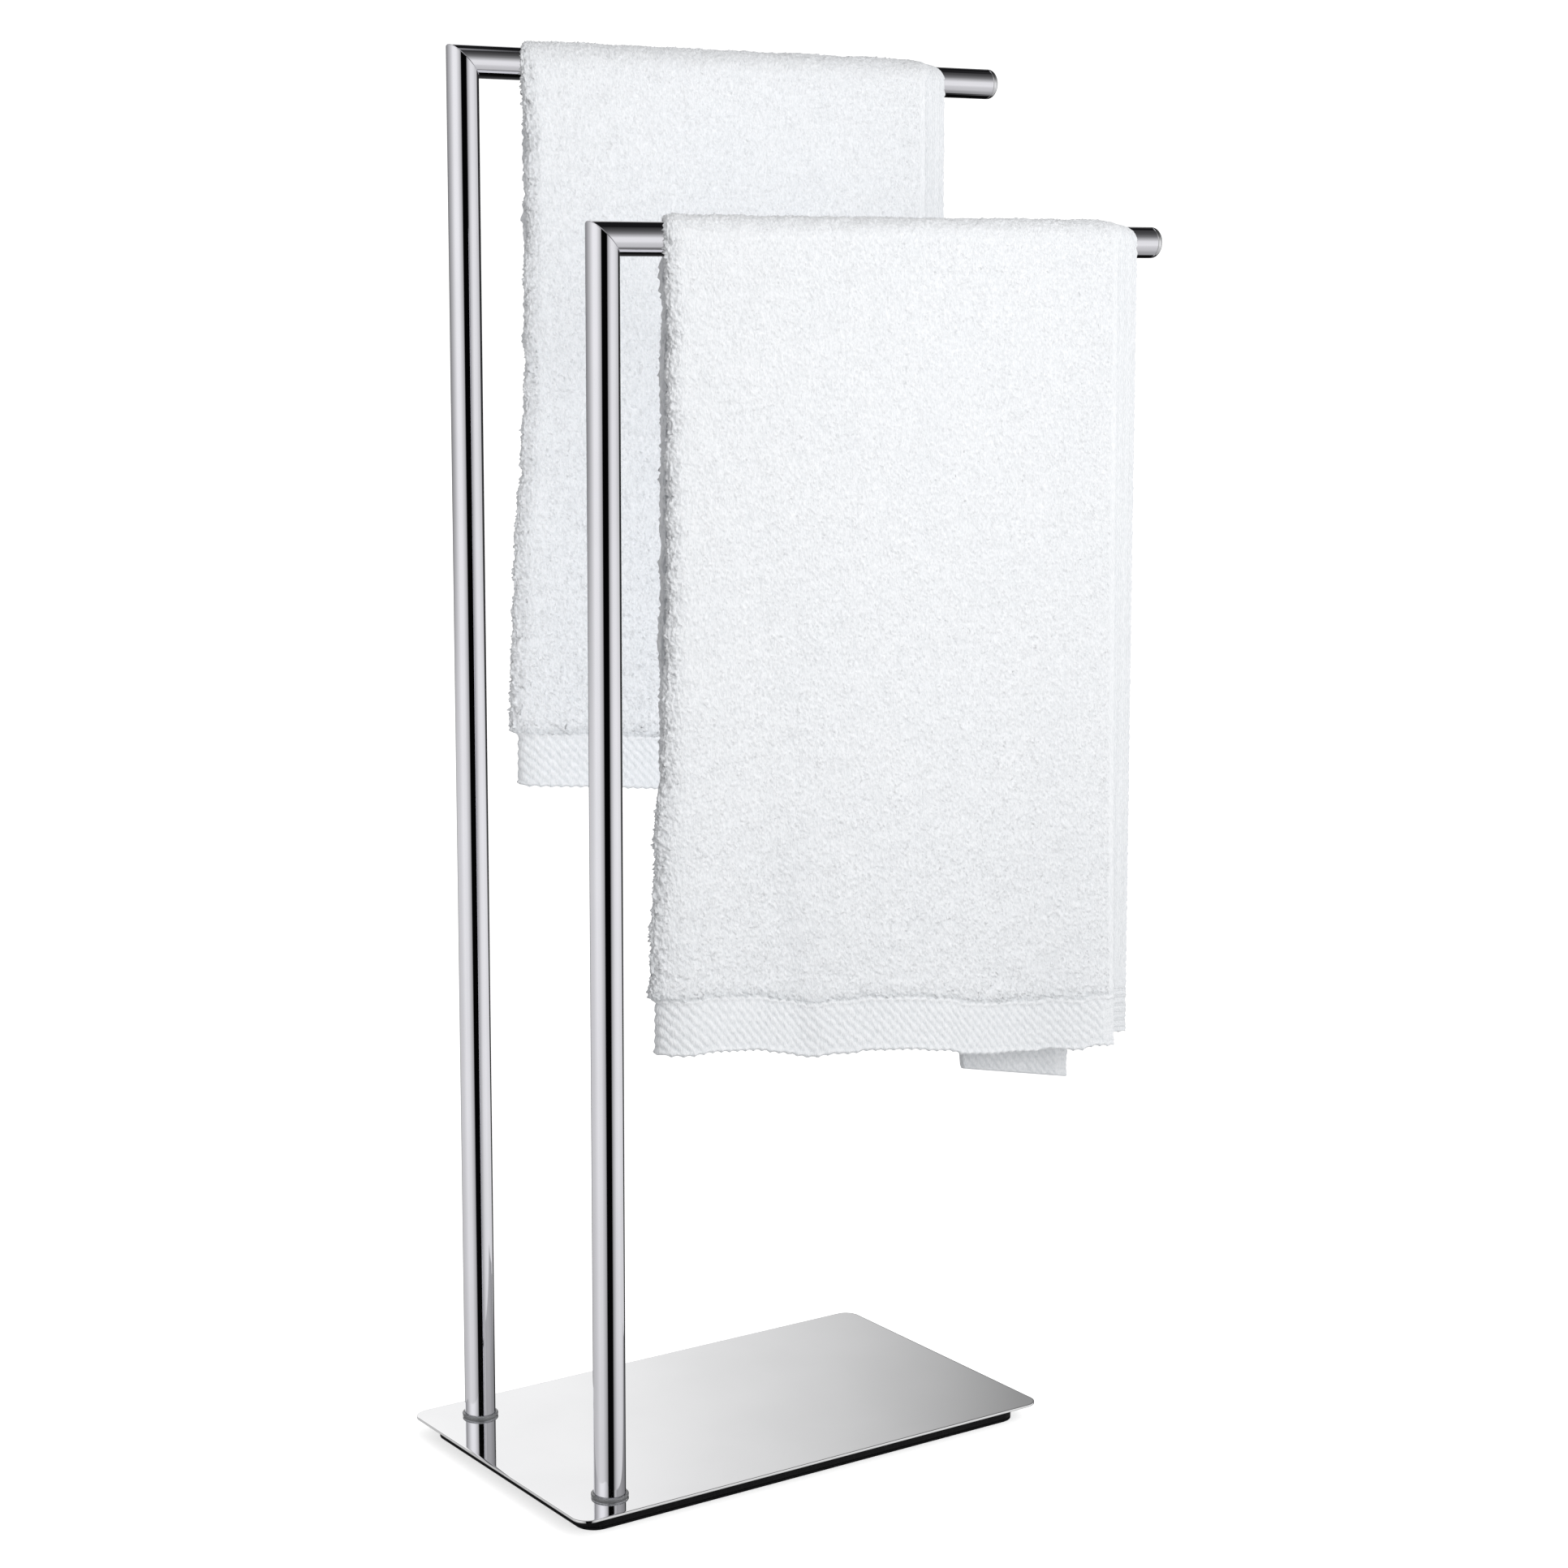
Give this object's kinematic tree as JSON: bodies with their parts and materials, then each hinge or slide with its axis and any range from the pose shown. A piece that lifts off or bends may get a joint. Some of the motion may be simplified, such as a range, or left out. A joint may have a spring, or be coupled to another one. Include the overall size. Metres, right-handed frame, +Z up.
{
  "type": "freestanding towel stand",
  "caption": "Floor-standing towel rack: two mitred chrome tube frames of different height on a weighted flat base, a folded white towel draped over each arm.",
  "frame": {"origin": "middle of the base's underside, on the floor", "axes": "+X along the base's long side towards the arms' free ends, +Y towards the taller frame, +Z up"},
  "size_m": [0.436, 0.207, 0.8553],
  "materials": {
    "pad": "matte",
    "weight": "satin",
    "adhesive": "matte",
    "polished_plate": "polished",
    "chrome_tube": "polished",
    "chrome_cap": "polished",
    "seat_ring": "gloss",
    "steel_fixings": "satin",
    "terry": "matte"
  },
  "bodies": {
    "rack": {"anti_slip_pad": "pad", "base_weight": "weight", "adhesive_sheet": "adhesive", "base_plate": "polished_plate", "back_post": "chrome_tube", "back_arm": "chrome_tube", "back_arm_cap": "chrome_cap", "back_seat_ring": "seat_ring", "back_post_plug": "steel_fixings", "back_post_screw": "steel_fixings", "back_screw_washer": "steel_fixings", "front_post": "chrome_tube", "front_arm": "chrome_tube", "front_arm_cap": "chrome_cap", "front_seat_ring": "seat_ring", "front_post_plug": "steel_fixings", "front_post_screw": "steel_fixings", "front_screw_washer": "steel_fixings"},
    "back_towel": {"back_towel": "terry"},
    "front_towel": {"front_towel": "terry"}
  },
  "joints": [
    {"name": "back_towel_slide", "type": "slide", "parent": "rack", "child": "back_towel", "axis": [1, 0, 0], "range_m": [-0.012, 0.042]},
    {"name": "front_towel_slide", "type": "slide", "parent": "rack", "child": "front_towel", "axis": [1, 0, 0], "range_m": [-0.01, 0.019]}
  ]
}
